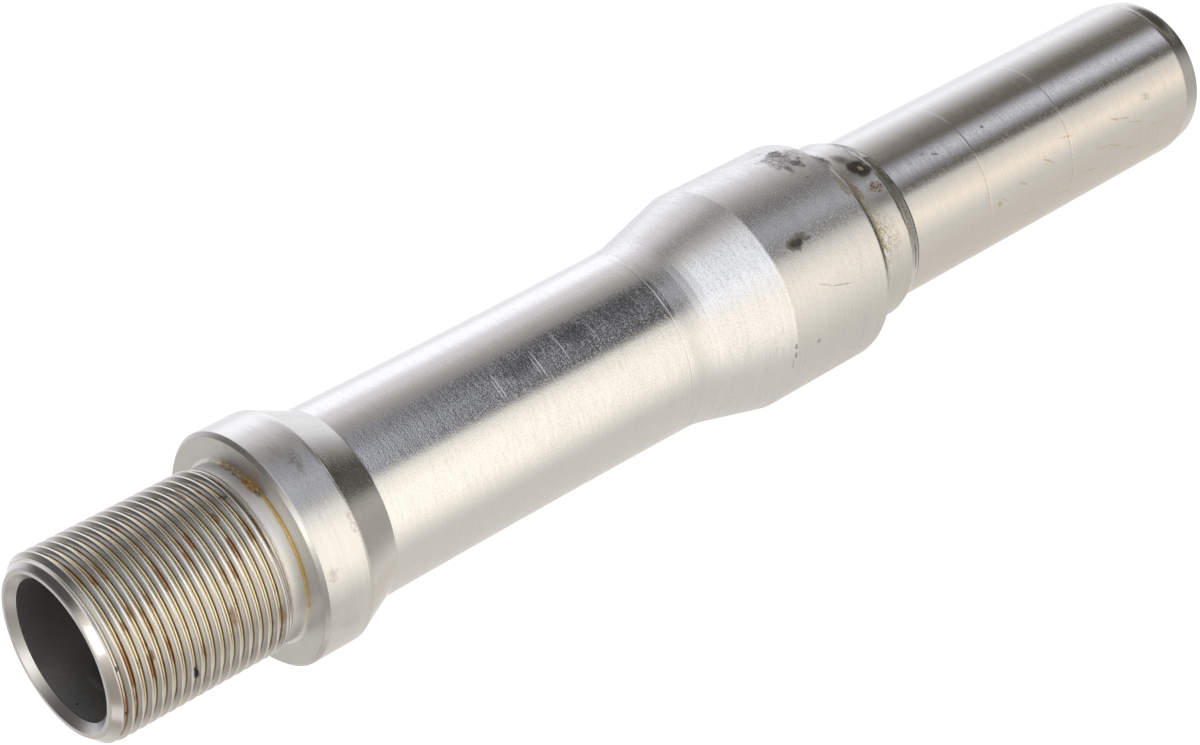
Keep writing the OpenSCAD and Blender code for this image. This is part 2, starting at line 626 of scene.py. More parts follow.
JOURNAL_STEEL = Steel(
    "journal_steel", 17.5, colour=(0.74, 0.73, 0.7), roughness=0.145, patchy=0.04, anisotropic=0.25,
    ring_height=4.0, fine_height=8.0, grain_height=7.0, wave_height=11.0, scuff=0.12, dirt=0.03,
    stains=(
        Stain(77.9, -16.7, 0.9, 0.3, Mark.SMUDGE, 0.8, lean=0.5),
        Stain(80.5, -21.0, 0.5, 0.4, Mark.SMUDGE, 0.5),
        Stain(63.1, -18.4, 0.6, 0.5, Mark.SMUDGE, 0.9),
        Stain(68.7, -2.9, 1.8, 0.25, Mark.SMUDGE, 0.6, lean=0.4),
        Stain(17.9, 17.0, 1.2, 1.0, Mark.TAN, 0.4, ragged=0.8, speckle=0.8),
        dash(25.9, 23.4, 3.2, 0.24, 0.6, 0.3, 0.7),
        dash(28.6, 21.0, 1.6, 0.3, 0.7, 0.5, 0.6),
        dash(21.5, 31.0, 3.0, 0.22, 0.55, 0.3, 0.8),
        dash(15.4, 40.0, 3.8, 0.2, 0.5, 0.26, 0.8),
        dash(29.3, 39.5, 2.4, 0.24, 0.55, 0.4, 0.7),
        dash(33.6, 36.0, 2.2, 0.22, 0.5, 0.2, 0.8),
        dash(23.1, 49.7, 3.2, 0.22, 0.5, 0.3, 0.8),
        dash(12.1, 66.0, 3.6, 0.22, 0.5, 0.3, 0.8),
        dash(50.6, 24.3, 1.8, 0.3, 0.75, 0.6, 0.5),
        dash(43.7, 15.3, 2.2, 0.3, 0.55, 0.2, 0.7),
        dash(59.0, 30.3, 1.5, 0.3, 0.75, 0.5, 0.5),
        Stain(66.5, 35.8, 0.7, 0.7, Mark.GOLD, 0.85, speckle=0.6),
        dash(65.2, 34.0, 1.4, 0.25, 0.5, 0.7, 0.6),
        dash(55.8, 57.7, 3.4, 0.22, 0.5, 0.2, 0.8),
        dash(45.2, 56.2, 3.0, 0.22, 0.45, 0.3, 0.8),
        dash(37.3, 48.8, 3.0, 0.24, 0.5, 0.2, 0.8),
        Stain(69.2, 22.0, 0.35, 9.0, Mark.GOLD, 0.35, ragged=0.6, speckle=0.7),
        Stain(43.2, 28.0, 0.35, 9.0, Mark.GOLD, 0.35, ragged=0.6, speckle=0.7),
        Stain(2.4, -32.0, 2.6, 8.0, Mark.OLIVE, 0.95, ragged=0.15, fade=0.5, speckle=0.05),
        Stain(2.2, -30.0, 2.4, 5.5, Mark.SOOT, 0.8, ragged=0.2, fade=0.5, speckle=0.1),
        Stain(4.8, -31.0, 0.3, 7.0, Mark.SOOT, 0.8, ragged=0.2, speckle=0.1),
    ),
)


@dataclass
class Journal(Round):
    """The bearing journal, with its slim lead-in taper and two score lines."""

    diameter: float = 35.0
    length: float = 91.6
    lead_len: float = 4.7
    lead_drop: float = 0.8
    score_heights: tuple[float, float] = (43.2, 69.2)
    score_wide: float = 0.5
    score_deep: float = 0.02
    finish: Steel = JOURNAL_STEEL

    def corners(self, bore_radius: float, tail_chamfer: float) -> list[Corner]:
        """Lists the corners from the bore's tail mouth out and up to the neck's foot.

        Args:
            bore_radius: the bore's radius.
            tail_chamfer: the chamfer on the bore's mouth at this end.

        Returns:
            The corners.
        """
        found = [
            Corner(bore_radius + tail_chamfer, 0.0, 0.0),
            Corner(self.radius - self.lead_drop, 0.0, 0.2),
            Corner(self.radius, self.lead_len, 1.0),
        ]
        for height in self.score_heights:
            found += score_line(height, self.score_wide, self.score_deep, lambda _: self.radius)
        return found


NECK_STEEL = Steel(
    "neck_steel", 19.2, roughness=0.24, anisotropic=0.3, ring_height=10.0, fine_height=3.0,
    grain_height=12.0, wave_height=14.0, dirt=0.14,
    stains=(
        Stain(98.2, -41.0, 2.0, 3.0, Mark.OLIVE, 0.85, ragged=0.3, fade=0.6, lean=0.5, speckle=0.15),
        Stain(97.3, -30.0, 2.9, 3.3, Mark.OLIVE, 0.95, ragged=0.35, fade=0.4, speckle=0.15),
        Stain(97.5, -32.0, 2.2, 1.8, Mark.SOOT, 1.0, ragged=0.3, fade=0.3, speckle=0.1),
        Stain(96.6, -27.0, 1.9, 1.7, Mark.SOOT, 1.0, ragged=0.3, fade=0.3, speckle=0.1),
        Stain(96.9, -29.6, 0.6, 0.7, Mark.GOLD, 0.9, ragged=0.3, speckle=0.1),
        Stain(96.7, -29.0, 0.35, 0.5, Mark.BARE, 0.9, ragged=0.2, speckle=0.1),
        Stain(101.9, -49.0, 1.9, 3.2, Mark.SOOT, 0.9, ragged=0.6, speckle=0.4),
        Stain(103.2, -56.0, 1.3, 1.8, Mark.SMUDGE, 0.5, ragged=0.8),
        Stain(97.1, -13.8, 1.8, 1.7, Mark.BROWN, 1.0, ragged=0.8, speckle=0.75),
        Stain(102.9, -24.0, 1.5, 4.4, Mark.OLIVE, 1.0, ragged=0.8, speckle=0.6),
        Stain(102.4, -18.0, 1.5, 3.0, Mark.BROWN, 1.0, ragged=0.8, speckle=0.6),
        Stain(102.9, 5.0, 0.95, 15.0, Mark.OLIVE, 0.95, ragged=0.45, speckle=0.5),
        Stain(102.3, 4.0, 1.7, 17.0, Mark.TAN, 0.8, ragged=0.8, fade=0.5, speckle=0.85),
        Stain(99.8, 18.0, 3.4, 6.0, Mark.TAN, 0.42, ragged=0.9, fade=0.6, speckle=0.95),
        Stain(100.5, -2.0, 2.2, 9.0, Mark.TAN, 0.4, ragged=0.9, fade=0.6, speckle=0.95),
        Stain(95.0, -6.0, 0.5, 9.0, Mark.OLIVE, 0.75, ragged=0.5, speckle=0.5),
        # Painted shade: darkens the top left of the neck's bevel, where it would reflect bright
        Stain(93.3, -56.0, 2.2, 9.5, Mark.SMUDGE, 0.7, ragged=0.3, fade=0.6, speckle=0.25),
        Stain(93.0, -24.0, 1.5, 6.0, Mark.SOOT, 1.0, ragged=0.6, fade=0.4, speckle=0.3),
        # Painted shade: a dark line at the step at the neck's foot
        Stain(91.7, 2.0, 0.45, 25.0, Mark.SOOT, 0.95, ragged=0.2, speckle=0.2),
        Stain(93.4, -16.0, 1.7, 11.0, Mark.OLIVE, 0.8, ragged=0.4, fade=0.5, speckle=0.3),
        Stain(93.4, 18.0, 1.1, 8.0, Mark.BROWN, 0.65, ragged=0.8, speckle=0.8),
        Stain(94.9, -10.0, 0.4, 15.0, Mark.SOOT, 0.7, ragged=0.5, speckle=0.5),
        Stain(93.3, 38.0, 0.6, 3.4, Mark.SOOT, 0.6, ragged=0.6),
    ),
)


@dataclass
class Neck(Round):
    """The neck between the journal and the barrel, with its bevel and small step."""

    diameter: float = 38.4
    length: float = 10.1
    bevel_len: float = 3.4
    step_high: float = 0.4
    fillet: float = 2.0
    finish: Steel = NECK_STEEL

    def corners(self, journal: Journal) -> list[Corner]:
        """Lists the corners from the step at its foot up to the barrel's wall.

        Args:
            journal: the journal below it.

        Returns:
            The corners.
        """
        foot = journal.length
        top = foot + self.bevel_len
        return [
            Corner(journal.radius, foot - self.step_high, 0.05),
            Corner(journal.radius + self.step_high, foot, 0.15),
            Corner(self.radius, top, 0.25),
            Corner(self.radius, top + self.length, self.fillet),
        ]


BARREL_STEEL = Steel(
    "barrel_steel", 23.25, colour=(0.74, 0.73, 0.705), roughness=0.25, patchy=0.06, anisotropic=0.3,
    ring_height=5.0, fine_height=7.0, grain_height=12.0, wave_height=17.0, scuff=0.16,

    stains=(
        Stain(111.6, -52.0, 4.4, 6.0, Mark.SMUDGE, 0.85, ragged=0.9, fade=0.45, speckle=0.6),
        Stain(110.6, -58.0, 1.5, 2.4, Mark.SOOT, 0.6, ragged=0.8, speckle=0.5),
        Stain(110.4, -44.0, 1.6, 2.0, Mark.SOOT, 0.6, ragged=0.8, speckle=0.5),
        Stain(113.3, -42.0, 0.8, 1.6, Mark.SMUDGE, 0.9, ragged=0.5),
        Stain(112.2, -33.0, 0.4, 0.45, Mark.SOOT, 0.8, ragged=0.4),
        Stain(110.5, -24.0, 3.5, 6.0, Mark.SMUDGE, 0.28, ragged=0.8, fade=0.6, speckle=0.7),
        Stain(121.6, -18.0, 1.5, 2.2, Mark.SMUDGE, 0.25, ragged=0.8, fade=0.6),
        Stain(124.6, -6.0, 3.6, 1.8, Mark.OLIVE, 0.9, ragged=0.6, lean=-0.1, speckle=0.2),
        Stain(124.8, -5.6, 2.1, 0.95, Mark.SOOT, 0.9, ragged=0.4, speckle=0.1),
        Stain(122.3, -5.3, 1.5, 0.5, Mark.OLIVE, 0.8, ragged=0.3),
        Stain(129.6, -4.7, 2.2, 0.6, Mark.SMUDGE, 0.45, ragged=0.6, speckle=0.6),
        # Painted shade: these two marks draw a dark line along the barrel's rounded edge above the neck
        Stain(106.3, 7.0, 0.5, 12.0, Mark.SOOT, 0.9, ragged=0.2, speckle=0.2),
        Stain(105.6, 4.0, 0.7, 16.0, Mark.OLIVE, 0.9, ragged=0.4, speckle=0.4),
        Stain(107.2, -20.0, 0.9, 3.4, Mark.BROWN, 0.7, ragged=0.7),
        Stain(106.0, -37.0, 1.0, 3.4, Mark.SOOT, 0.8, ragged=0.7),
        Stain(118.6, 22.5, 3.4, 0.13, Mark.BROWN, 0.5, ragged=0.3, lean=0.28, speckle=0.3),
        Stain(122.6, 18.6, 2.0, 0.12, Mark.BROWN, 0.45, ragged=0.3, lean=0.5, speckle=0.3),
        Stain(132.4, 40.9, 0.3, 0.7, Mark.SMUDGE, 0.9),
        Stain(132.4, 45.8, 0.3, 0.9, Mark.SMUDGE, 0.8),
        Stain(132.8, 51.0, 0.25, 1.6, Mark.BROWN, 0.4),
        Stain(126.1, 44.9, 0.5, 0.6, Mark.SMUDGE, 0.6),
    ),
)


@dataclass
class Barrel(Round):
    """The barrel, with a rounded edge above the neck."""

    diameter: float = 46.5
    length: float = 27.1
    edge: float = 1.8
    corner: float = 2.0
    finish: Steel = BARREL_STEEL


BODY_STEEL = Steel(
    "body_steel", 18.8, colour=(0.73, 0.72, 0.69), roughness=0.12, patchy=0.04,
    ring_height=5.0, fine_height=6.0, grain_height=13.0, wave_height=14.0, texture=0.12, scuff=0.17,
    dirt=0.04,
    stains=(
        # Painted shade: the first four marks darken the body's dark reflection band
        Stain(152.2, -15.5, 3.0, 2.7, Mark.PAINTED_SHADE, 0.85, ragged=0.6, fade=0.5, speckle=0.4),
        Stain(165.0, -20.0, 7.0, 3.0, Mark.PAINTED_SHADE, 0.6, ragged=0.9, fade=0.6, speckle=0.5),
        Stain(176.0, -20.5, 6.0, 2.4, Mark.PAINTED_SHADE, 0.75, ragged=0.9, fade=0.6, speckle=0.5),
        Stain(189.5, -19.0, 6.5, 2.2, Mark.PAINTED_SHADE, 0.75, ragged=0.9, fade=0.6, speckle=0.5),
        scratch(186.2, -15.0, 0.16, 3.6, 0.9, 0.2),
        scratch(187.0, -16.0, 0.12, 2.4, 0.7, 0.3),
        scratch(195.9, -14.6, 0.16, 3.2, 0.9, 0.2),
        scratch(196.6, -13.0, 0.12, 2.6, 0.7, 0.3),
        scratch(180.1, -18.0, 0.13, 3.8, 0.7, 0.3),
        scratch(172.4, -19.0, 0.11, 3.0, 0.5, 0.5),
    ),
)


@dataclass
class Body:
    """The waisted body and the flare that it grows from."""

    length: float = 73.0
    waist_diameter: float = 37.5
    waist_at: float = 28.7
    waist_hollow: float = 4000.0
    flare_angle: float = 13.8
    flare_hollow: float = 45.0
    rings: int = 12
    score_up: float = 1.1
    score_wide: float = 0.32
    score_deep: float = 0.02
    finish: Steel = BODY_STEEL

    def radius_at(self, away: float) -> float:
        """Gives the body's radius at a distance along the axis from the waist."""
        drop = self.waist_hollow - math.sqrt(self.waist_hollow**2 - away**2)
        return self.waist_diameter / 2 + drop


COLLAR_STEEL = Steel(
    "collar_steel", 22.7, roughness=0.22, ring_height=6.0, fine_height=2.0,
    grain_height=9.0, wave_height=26.0, dirt=0.12,
    stains=(
        Stain(240.2, -24.5, 1.5, 3.2, Mark.SMUDGE, 0.8, ragged=0.7, fade=0.6, speckle=0.4),
        Stain(241.6, -31.0, 3.0, 3.0, Mark.SMUDGE, 0.5, ragged=0.8, fade=0.7, speckle=0.5),
        Stain(236.8, -27.0, 0.9, 2.6, Mark.SMUDGE, 0.35, ragged=0.8, fade=0.6, speckle=0.7),
        Stain(241.0, -8.0, 3.0, 6.0, Mark.SMUDGE, 0.18, ragged=0.9, fade=0.6, speckle=0.8),
        Stain(237.2, 11.0, 0.7, 2.4, Mark.BROWN, 0.22, ragged=0.9, speckle=0.9),
        Stain(243.9, 27.5, 1.4, 1.6, Mark.BROWN, 0.22, ragged=0.9, speckle=0.9),
        Stain(241.0, 58.0, 2.0, 1.6, Mark.BROWN, 0.12, ragged=0.9, speckle=0.9),
    ),
)


SEAT_STEEL = Steel(
    "seat_steel", 20.0, colour=(0.62, 0.61, 0.59), roughness=0.34,
    ring_height=2.0, grain_height=8.0, dirt=0.2,
    stains=(
        Stain(246.4, -46.0, 3.0, 8.0, Mark.BROWN, 0.22, ragged=0.9, fade=0.6, speckle=0.8),
        Stain(246.4, -36.0, 3.0, 2.4, Mark.RUST, 0.25, ragged=0.9, fade=0.6, speckle=0.8),
    ),
)


@dataclass
class Collar(Round):
    """The collar, with its cone, soft corner and chamfered seat face."""

    diameter: float = 45.4
    length: float = 18.4
    cone_angle: float = 24.4
    corner: float = 2.0
    chamfer: float = 0.75
    rim_len: float = 4.0
    finish: Steel = COLLAR_STEEL
    face_finish: Steel = SEAT_STEEL


THREAD_STEEL = ThreadSteel(
    "thread_steel", 17.9, colour=(0.7, 0.675, 0.635), roughness=0.17, anisotropic=0.0,
    ring_height=0.0, fine_height=0.0, grain_height=10.0, dirt=0.12,
    stains=(
        Stain(270.0, 54.9, 0.6, 1.7, Mark.SOOT, 1.0, ragged=0.3, fade=0.25, speckle=0.1),
        Stain(252.9, -37.0, 0.6, 0.7, Mark.SOOT, 0.9, ragged=0.4),
        Stain(284.3, 24.1, 0.4, 0.6, Mark.SOOT, 0.9, ragged=0.4),
        Stain(284.2, 56.5, 0.5, 0.7, Mark.SOOT, 0.95, ragged=0.3),
        Stain(278.6, -30.0, 0.45, 2.6, Mark.RUST, 0.9, ragged=0.5),
        Stain(278.1, -0.8, 0.35, 2.0, Mark.RUST, 0.9, ragged=0.5),
        Stain(278.6, 27.5, 0.45, 1.4, Mark.RUST, 0.8, ragged=0.5),
        Stain(257.0, -27.0, 0.4, 1.8, Mark.RUST, 0.85, ragged=0.5),
        Stain(257.7, -51.0, 0.5, 2.2, Mark.BROWN, 0.7, ragged=0.6),
        Stain(261.5, 29.4, 0.5, 2.6, Mark.RUST, 0.7, ragged=0.5),
        Stain(251.8, 46.9, 0.5, 2.8, Mark.RUST, 0.7, ragged=0.5),
    ),
)


GROOVE_STEEL = Steel(
    "groove_steel", 17.3, colour=(0.84, 0.83, 0.81), roughness=0.38, patchy=0.06,
    ring_height=3.0, grain_height=8.0,
    stains=(
        Stain(246.5, 8.0, 0.34, 20.0, Mark.GOLD, 1.0, ragged=0.25, fade=0.4, speckle=0.2),
        Stain(246.5, -38.0, 0.34, 12.0, Mark.GOLD, 0.8, ragged=0.5, speckle=0.4),
        Stain(247.0, -46.0, 0.9, 6.0, Mark.BROWN, 0.9, ragged=0.7, speckle=0.6),
        Stain(247.0, -34.0, 0.9, 2.6, Mark.RUST, 0.95, ragged=0.6),
        Stain(246.9, -26.0, 0.6, 1.4, Mark.SOOT, 0.8, ragged=0.6),
        Stain(249.6, 8.0, 0.35, 20.0, Mark.GOLD, 0.45, ragged=0.5, fade=0.5, speckle=0.5),
    ),
)


END_FACE_STEEL = Steel(
    "end_face_steel", 16.0, colour=(0.63, 0.62, 0.605), roughness=0.33, patchy=0.06,
    ring_height=9.0, grain_height=8.0, dirt=0.2,
)


@dataclass
class ThreadEnd(Round):
    """The threaded end: a run-out groove, a right-hand thread and a chamfered end face."""

    diameter: float = 35.8
    length: float = 40.0
    pitch: float = 2.0
    depth: float = THREAD_DEPTH
    crest_flat: float = 0.4
    crest_height: float = 267.35
    flank_angle: float = 30.0
    crest_soft: float = 0.12
    root_soft: float = 0.1
    skin: float = 0.01
    end_clear: float = 0.25
    seat_reach: float = 1.15
    chamfer: float = 2.2
    groove_depth: float = 0.6
    groove_len: float = 4.1
    groove_fillet: float = 0.6
    fade: float = 0.9
    offsets: tuple[float, ...] = (0.0, 0.12, 0.17, 0.22, 0.3, 0.7, 0.78, 0.83, 0.88, 0.94)
    finish: Steel = THREAD_STEEL
    groove_finish: Steel = GROOVE_STEEL
    face_finish: Steel = END_FACE_STEEL

    def profile(self, offset: float) -> float:
        """Gives how far the surface lies below the crest, which is rounded, as the root is.

        Args:
            offset: the distance along the axis from the crest's middle, up to half a pitch.

        Returns:
            The depth.
        """
        raw = (abs(offset) - self.crest_flat / 2) / math.tan(math.radians(self.flank_angle))
        gap = self.depth - 0.5 * (raw + math.hypot(raw, self.crest_soft))
        return self.depth - 0.5 * (gap + math.hypot(gap, self.root_soft)) + self.skin

    def build(self, mesh: TurnedMesh, low: float, high: float, envelope: Callable[[float], float]) -> None:
        """Winds the thread on from the open ring, which lies at its lower height.

        Args:
            mesh: the mesh that it is added to.
            low: the height where the winding starts.
            high: the height where it ends.
            envelope: the largest radius at each height.
        """
        slot = mesh.slot(self.finish.build())
        half = self.pitch / 2
        inner = [offset * half for offset in self.offsets]
        rows_in_turn = sorted({*inner, half, *(self.pitch - offset for offset in inner if offset > 0)})
        count = len(rows_in_turn)
        base = self.crest_height - self.pitch * FRONT_TURN
        first = math.floor((low - base) / self.pitch) - 1
        turns = math.ceil((high - base) / self.pitch) - first + 1
        known: dict[tuple[int, int], int] = {}

        def corner(row: int, column: int) -> int:
            """Gives the number of the point at a row and a column, adding the point if it is new."""
            if column == COLUMNS:
                row, column = row + count, 0
            turn, part = divmod(row, count)
            offset = rows_in_turn[part]
            angle = math.tau * column / COLUMNS
            height = base + self.pitch * (first + turn + column / COLUMNS) + offset
            if height <= low:
                return mesh.open_ring[column]
            if height >= high:
                return top_ring[column]
            if (row, column) not in known:
                from_crest = min(offset, self.pitch - offset)
                fade = min(1.0, (height - low) / self.fade)
                deep = self.profile(from_crest) * fade * fade * (3 - 2 * fade)
                radius = min(envelope(height), self.radius - deep)
                known[(row, column)] = mesh.point(radius, angle, height)
            return known[(row, column)]

        top_ring = mesh.ring(envelope(high), high)
        for row in range(turns * count):
            for column in range(COLUMNS):
                lower, upper = [(corner(line, column), corner(line, column + 1)) for line in (row, row + 1)]
                mesh.face((*lower, *reversed(upper)), slot)
        mesh.open_ring = top_ring


BORE_STEEL = Steel(
    "bore_steel", 13.5, colour=(0.38, 0.38, 0.385), metallic=0.9, roughness=0.42, patchy=0.1,
    anisotropic=0.0, ring_height=8.0, fine_height=0.5, grain_height=6.0, dirt=0.3,
    stains=(
        # Painted shade: this large smudge darkens the bore's wall at -140 degrees
        Stain(279.0, -140.0, 18.0, 14.0, Mark.SMUDGE, 0.95, ragged=0.25, fade=0.7, speckle=0.05),
        Stain(262.0, 175.0, 14.0, 12.0, Mark.BROWN, 0.6, ragged=0.3, fade=0.7, speckle=0.05),
        # Painted light: a pale, bluish patch near the mouth at 140 degrees, for light falling into the bore
        Stain(284.0, 140.0, 8.0, 10.0, Mark.PAINTED_LIGHT, 1.0, ragged=0.25, fade=0.7, speckle=0.05),
        Stain(280.0, 104.0, 6.0, 5.0, Mark.BROWN, 0.5, ragged=0.6, fade=0.8, speckle=0.2),
        Stain(283.2, 137.0, 0.45, 0.5, Mark.SOOT, 1.0, ragged=0.3, speckle=0.1),
        Stain(278.0, 147.0, 0.6, 2.4, Mark.SOOT, 0.5, ragged=0.7, lean=0.6, speckle=0.4),
    ),
)


@dataclass
class Bore(Round):
    """The bore, which runs right through and has a chamfer at each mouth."""

    diameter: float = 27.0
    mouth_chamfer: float = 1.4
    tail_chamfer: float = 1.0
    throat: float = 0.3
    finish: Steel = BORE_STEEL


@dataclass
class DriveShaft:
    """The whole shaft, turned from one bar."""

    journal: Journal = field(default_factory=Journal)
    neck: Neck = field(default_factory=Neck)
    barrel: Barrel = field(default_factory=Barrel)
    body: Body = field(default_factory=Body)
    collar: Collar = field(default_factory=Collar)
    thread_end: ThreadEnd = field(default_factory=ThreadEnd)
    bore: Bore = field(default_factory=Bore)

    def __post_init__(self) -> None:
        """Works out the heights of the steps, up from the journal's end."""
        body, barrel, collar = self.body, self.barrel, self.collar
        self.wall_z = self.journal.length + self.neck.bevel_len + self.neck.length
        self.flare_z = self.wall_z + barrel.length
        self.flare_r = body.radius_at(body.length - body.waist_at)
        slope = math.radians(body.flare_angle)
        arc_r = self.flare_r + body.flare_hollow * (1 - math.cos(slope))
        arc_len = body.flare_hollow * math.sin(slope)
        self.body_z = self.flare_z + arc_len + (barrel.radius - arc_r) / math.tan(slope)
        self.bend_z = self.body_z - body.flare_hollow * math.tan(slope / 2)
        self.cone_z = self.body_z + body.length
        self.foot_r = body.radius_at(body.waist_at)
        cone_slope = math.tan(math.radians(collar.cone_angle))
        self.corner_z = self.cone_z + (collar.radius - self.foot_r) / cone_slope
        self.face_z = self.cone_z + collar.length
        self.end_z = self.face_z + self.thread_end.length

    def waist_r(self, height: float) -> float:
        """Gives the body's radius at a height."""
        return self.body.radius_at(self.cone_z - self.body.waist_at - height)

    def outer_stretches(self) -> list[tuple[list[Corner], Steel]]:
        """Lists the outline from the bore's tail mouth up to the foot of the thread.

        Returns:
            The corners of each stretch with its finish; each stretch ends where the next starts.
        """
        journal, neck, barrel, body, collar = self.journal, self.neck, self.barrel, self.body, self.collar
        thread = self.thread_end
        foot = journal.corners(self.bore.radius, self.bore.tail_chamfer)
        neck_corners = neck.corners(journal)
        barrel_corners = [
            Corner(barrel.radius, self.wall_z, barrel.edge),
            Corner(barrel.radius, self.flare_z, barrel.corner),
            Corner(self.flare_r, self.bend_z, body.flare_hollow),
            Corner(self.flare_r, self.body_z, 0.0),
        ]
        waist = []
        for index in range(body.rings + 1):
            height = body.length * index / body.rings
            radius = body.radius_at(body.length - body.waist_at - height)
            waist.append(Corner(radius, self.body_z + height, 0.0))
        waist[-1] = Corner(self.foot_r, self.cone_z, 0.3)
        score_z = self.body_z + body.score_up
        below, above = score_z - SCORE_SIDES * body.score_wide, score_z + SCORE_SIDES * body.score_wide
        waist[1:1] = [
            Corner(self.waist_r(below), below, 0.0),
            *score_line(score_z, body.score_wide, body.score_deep, self.waist_r),
            Corner(self.waist_r(above), above, 0.0),
        ]
        rim_foot = Corner(collar.radius, self.face_z - collar.rim_len, 0.0)
        collar_corners = [
            Corner(collar.radius, self.corner_z, collar.corner),
            rim_foot,
            Corner(collar.radius, self.face_z - collar.chamfer, 0.2),
            Corner(collar.radius - collar.chamfer, self.face_z, 0.15),
        ]
        groove_r = thread.radius - thread.groove_depth
        face_in = Corner(groove_r + thread.groove_fillet * thread.seat_reach, self.face_z, 0.0)
        groove = [
            face_in,
            Corner(groove_r, self.face_z, thread.groove_fillet),
            Corner(groove_r, self.face_z + thread.groove_len - thread.groove_depth, 0.0),
        ]
        return [
            (foot + [neck_corners[0]], journal.finish),
            (neck_corners, neck.finish),
            (barrel_corners, barrel.finish),
            (waist + collar_corners[:1], body.finish),
            (collar_corners[1:-1], collar.finish),
            ([*collar_corners[-2:], face_in], collar.face_finish),
            (groove, thread.groove_finish),
        ]

    def envelope(self, height: float) -> float:
        """Gives the threaded end's largest radius at a height."""
        thread = self.thread_end
        from_groove = thread.radius - (self.face_z + thread.groove_len - height)
        from_end = thread.radius - (height - (self.end_z - thread.chamfer))
        return min(thread.radius, from_groove, from_end)

    def build(self) -> bpy.types.Object:
        """Turns the whole shaft as one closed mesh.

        Returns:
            The shaft's object.
        """
        mesh = TurnedMesh()
        stretches = self.outer_stretches()
        chain: list[Corner] = []
        for corners, _ in stretches:
            chain += [corner for corner in corners if corner not in chain]
        points = Outline(chain).points()
        limits = [(corners[-1].z, corners[-1].r, finish.build()) for corners, finish in stretches]
        limits[1] = (self.wall_z, self.neck.radius + self.neck.fillet, limits[1][2])
        start = 0
        for limit_z, limit_r, material in limits:
            onward = range(start + 1, len(points))
            end = min(onward, key=lambda index: math.dist(points[index], (limit_r, limit_z)))
            mesh.turn(points[start : end + 1], material)
            start = end
        first_ring = list(range(COLUMNS))
        thread = self.thread_end
        low = self.face_z + thread.groove_len - thread.groove_depth
        high = self.end_z - thread.end_clear
        thread.build(mesh, low, high, self.envelope)
        bore = self.bore
        throat = Corner(bore.radius, self.end_z - bore.mouth_chamfer - bore.throat, 0.0)
        rim = [
            Corner(self.envelope(high), high, 0.0),
            Corner(thread.radius - thread.chamfer, self.end_z, 0.15),
            Corner(bore.radius + bore.mouth_chamfer, self.end_z, 0.12),
            Corner(bore.radius, self.end_z - bore.mouth_chamfer, 0.1),
            throat,
        ]
        mesh.turn(Outline(rim).points(), thread.face_finish.build())
        inside = [
            throat,
            Corner(bore.radius, bore.tail_chamfer, 0.1),
            Corner(bore.radius + bore.tail_chamfer, 0.0, 0.0),
        ]
        lining = bore.finish.build()
        mesh.turn(Outline(inside).points()[:-1], lining)
        mesh.close(first_ring, lining)
        made = mesh.build("turned_shaft")
        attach(made, "root")
        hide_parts(NODE)
        triangles = sum(len(face) - 2 for face in mesh.faces)
        LOG.info("turned_shaft: %d triangles, %.3f mm tall", triangles, self.end_z)
        return made


@dataclass(frozen=True)
class Panel:
    """One soft card or cloth of the light tent, by where the steel would see it."""

    azimuth: float
    elevation: float
    wide: float
    tall: float
    colour: Colour
    fade_wide: float = 20.0
    fade_tall: float = 8.0


